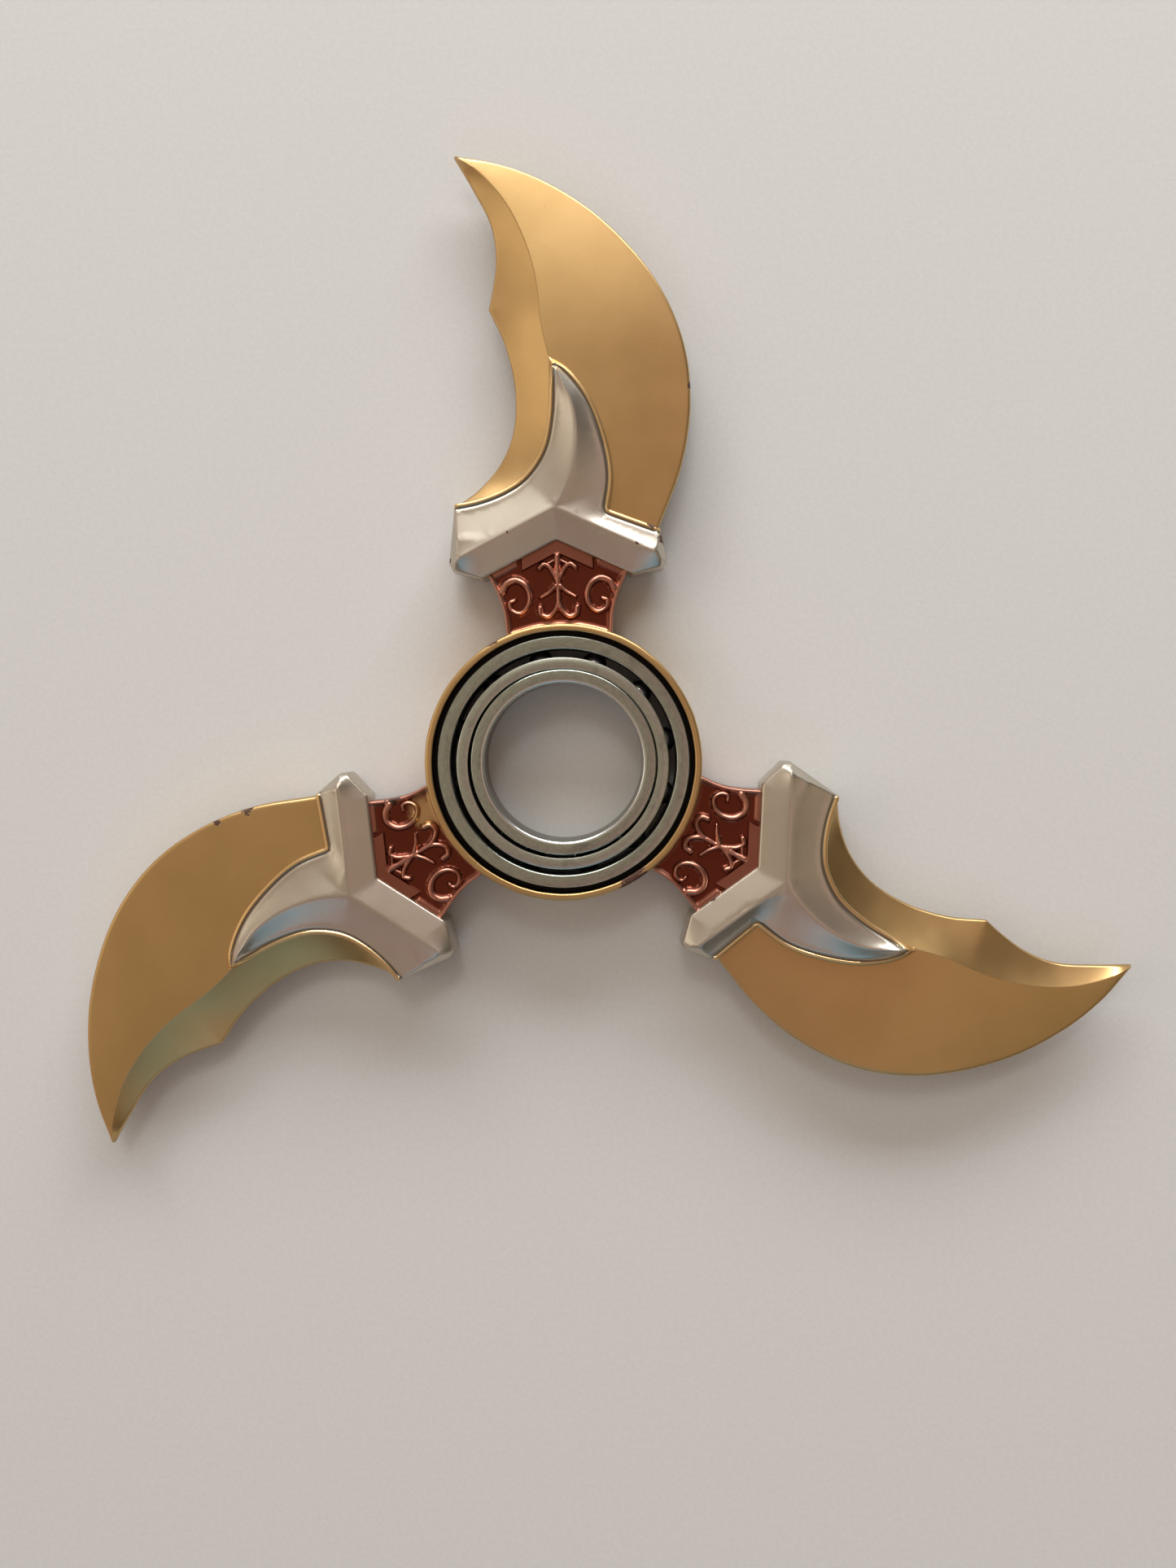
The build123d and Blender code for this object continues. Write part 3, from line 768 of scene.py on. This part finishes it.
def camera_matrix():
    """The camera's place, and its turn from the directions in which it looks and holds its top."""
    look = Vector(CAMERA_LOOK).normalized()
    right = look.cross(Vector(CAMERA_UP)).normalized()
    up = right.cross(look)
    turn = Matrix((right, up, -look)).transposed().to_4x4()
    return Matrix.Translation(Vector(CAMERA_AT) * MM) @ turn


def make_camera():
    data = bpy.data.cameras.new("camera")
    data.lens = CAMERA_LENS
    data.sensor_width = CAMERA_SENSOR
    data.clip_start, data.clip_end = CAMERA_CLIP
    camera = bpy.data.objects.new("camera", data)
    camera.matrix_world = camera_matrix()
    bpy.context.scene.collection.objects.link(camera)
    bpy.context.scene.camera = camera


FLOOR_HALF = 8.0
PAPER_COLOURS = (0.67, 0.685, 0.675), (0.70, 0.715, 0.705)


def make_floor(level):
    """Matt paper with a faint fibre grain, reaching far enough for low views."""
    n = Nodes("paper")
    grain = n.noise(2.2, 4.0, 0.6)
    colour = n.mix(n.step(grain, 0.3, 0.7), *PAPER_COLOURS)
    normal = n.bump(n.noise(3.2, 4.0, 0.6), 0.03, 0.4)
    material = n.finish(Base_Color=colour, Roughness=0.9, Normal=normal)
    mesh = bpy.data.meshes.new("paper_floor")
    corners = [(x * FLOOR_HALF, y * FLOOR_HALF, level) for x, y in ((-1, -1), (1, -1), (1, 1), (-1, 1))]
    mesh.from_pydata(corners, [], [(0, 1, 2, 3)])
    mesh.materials.append(material)
    floor = bpy.data.objects.new("paper_floor", mesh)
    bpy.context.scene.collection.objects.link(floor)


def area_light(name, at, size, power, colour):
    """A soft rectangular light aimed at the bearing, and not seen itself."""
    data = bpy.data.lights.new(name, "AREA")
    data.shape = "RECTANGLE"
    data.size, data.size_y = size
    data.energy = power
    data.color = colour
    light = bpy.data.objects.new(name, data)
    light.location = at
    light.visible_camera = False
    light.rotation_mode = "QUATERNION"
    light.rotation_quaternion = (-Vector(at)).to_track_quat("-Z", "Y")
    bpy.context.scene.collection.objects.link(light)


# The room's light: a direction, then the colour at each cosine of the angle from it
ROOM = [
    ((-0.55, 0.25, 0.80), [
        (0.0, (0.05, 0.04, 0.034)), (0.44, (0.085, 0.068, 0.058)), (0.55, (0.62, 0.47, 0.37)),
        (0.62, (0.46, 0.34, 0.33)), (0.70, (0.40, 0.17, 0.17)), (0.79, (0.35, 0.28, 0.20)),
        (0.86, (0.46, 0.38, 0.275)), (0.93, (0.44, 0.34, 0.26)), (1.0, (0.44, 0.33, 0.26))]),
    ((-0.78, 0.12, 0.61), [
        (0.90, (0, 0, 0)), (0.94, (0.10, 0.09, 0.075)), (0.98, (0.70, 0.64, 0.54)),
        (1.0, (1.2, 1.12, 0.98))]),
    ((-0.05, 0.58, 0.81), [
        (0.90, (0, 0, 0)), (0.951, (0.04, 0.04, 0.038)), (0.974, (0.34, 0.335, 0.32)),
        (0.9935, (1.7, 1.7, 1.65)), (0.998, (6.5, 6.5, 6.4)), (1.0, (8.0, 8.0, 7.9))]),
    ((0, 0, 1), [
        (0.0, (0.46, 0.44, 0.41)), (0.12, (0.34, 0.325, 0.30)), (0.34, (0, 0, 0)), (1.0, (0, 0, 0))]),
    ((0.02, -0.80, 0.60), [
        (0.94, (0, 0, 0)), (0.975, (0.10, 0.20, 0.27)), (1.0, (0.16, 0.36, 0.48))]),
    ((0.55, -0.30, 0.78), [
        (0.86, (0, 0, 0)), (0.94, (0.20, 0.15, 0.095)), (1.0, (0.42, 0.33, 0.22))]),
]


def make_room():
    """A warm ceiling that darkens to the right, with soft patches of light on the other sides."""
    world = bpy.data.worlds.new("room")
    bpy.context.scene.world = world
    world.use_nodes = True
    nodes, links = world.node_tree.nodes, world.node_tree.links
    coords = nodes.new("ShaderNodeTexCoord")
    light = None
    for direction, colours in ROOM:
        lean = nodes.new("ShaderNodeVectorMath")
        lean.operation = "DOT_PRODUCT"
        lean.inputs[1].default_value = Vector(direction).normalized()
        links.new(coords.outputs["Generated"], lean.inputs[0])
        ramp = nodes.new("ShaderNodeValToRGB")
        stops = ramp.color_ramp.elements
        stops[0].position, stops[1].position = colours[0][0], colours[-1][0]
        stops[0].color, stops[1].color = (*colours[0][1], 1), (*colours[-1][1], 1)
        for position, colour in colours[1:-1]:
            stops.new(position).color = (*colour, 1)
        links.new(lean.outputs["Value"], ramp.inputs[0])
        if light is None:
            light = ramp.outputs[0]
            continue
        total = nodes.new("ShaderNodeVectorMath")
        total.operation = "ADD"
        links.new(light, total.inputs[0])
        links.new(ramp.outputs[0], total.inputs[1])
        light = total.outputs[0]
    links.new(light, nodes["Background"].inputs[0])


def make_lights():
    """A soft daylight window beyond the top arm and a weak cool fill from the near side."""
    area_light("window", (0.04, 0.675, 0.26), (0.85, 0.25), 6.6, (0.98, 0.99, 1.0))
    area_light("cool_fill", (0.0, -0.42, 0.45), (0.5, 0.22), 0.12, (0.35, 0.65, 1.0))
    bpy.context.scene.view_settings.view_transform = "Standard"


def place(piece, body, slot, *nodes):
    """Lets a piece ride on a body and stands it in for its CAD nodes; its slot is not used."""
    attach(piece, body)
    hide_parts(*nodes)


def main():
    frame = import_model()
    cad_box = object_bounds()
    make_camera()
    gold = paint("gold_paint", (0.57, 0.38, 0.168), (0.53, 0.35, 0.15), 0.34,
                 cavity=GAP_SHADE_COLOUR, gilt=(0.50, 0.25, 0.14))
    silver = paint("silver_paint", (0.55, 0.505, 0.425), (0.50, 0.455, 0.38), 0.32,
                   cavity=(0.20, 0.165, 0.12), gilt=(0.68, 0.47, 0.22))
    copper = paint("copper_paint", (0.50, 0.235, 0.165), (0.42, 0.175, 0.12), 0.31,
                   cavity=(0.15, 0.034, 0.018), gilt=(0.56, 0.36, 0.17))
    race_steel = steel("race_steel", (0.46, 0.50, 0.44), (0.35, 0.385, 0.335), 0.24, 2.2)
    cage_steel = steel("cage_steel", (0.47, 0.495, 0.43), (0.38, 0.40, 0.345), 0.30, 1.9, 0.4)
    ball_steel = steel("ball_steel", (0.75, 0.76, 0.77), (0.62, 0.63, 0.64), 0.14, -1.0, 0.0)

    blade = blade_shape()
    guard = guard_shape()
    neck = neck_shape()
    for arm in range(ARMS):
        turn = -ARM_STEP * arm
        number = arm + 1
        verts, faces, rim = blade
        piece = build(f"blade_casting_{number}", verts, faces, gold, turn, rim=rim)
        place(piece, "rotor", "gold_paint", f"blade_{number}")
        verts, faces, rim, cavity, gilt = guard
        piece = build(f"guard_casting_{number}", verts, faces, silver, turn,
                      rim=rim, gilt=gilt, cavity=cavity)
        place(piece, "rotor", "silver_paint", f"guard_{number}")
        verts, faces, rim, cavity, gilt = neck
        if arm == OVERSPRAY_ARM:
            gilt = gilt + 0.7 * spot(verts, *OVERSPRAY)
        piece = build(f"neck_casting_{number}", verts, faces, copper, turn,
                      rim=rim, cavity=cavity, gilt=gilt)
        place(piece, "rotor", "copper_paint", f"neck_{number}")
    place(make_hub(gold), "rotor", "gold_paint", "hub_ring")
    for node, corners in RACE_PROFILES.items():
        body = "rotor" if "outer" in node else "inner_race"
        verts, faces = lathe(rounded_profile(corners))
        # Painted shade: very dark on the outer race's outer rim, in the gap beside the hub
        rim_gap_shade = smooth(11.87, 11.95, np.hypot(verts[:, 0], verts[:, 1]))
        piece = build(node.replace("bearing", "ground"), verts, faces, race_steel, cavity=rim_gap_shade)
        place(piece, body, "bearing_steel", node)
    place(make_cage(cage_steel), "cage", "cage_steel", "ball_cage")
    for node, piece in frame["nodes"].items():
        if node.startswith("ball_") and node != "ball_cage":
            piece.data.materials.clear()
            piece.data.materials.append(ball_steel)

    make_floor(cad_box[0].z)
    make_room()
    make_lights()


main()
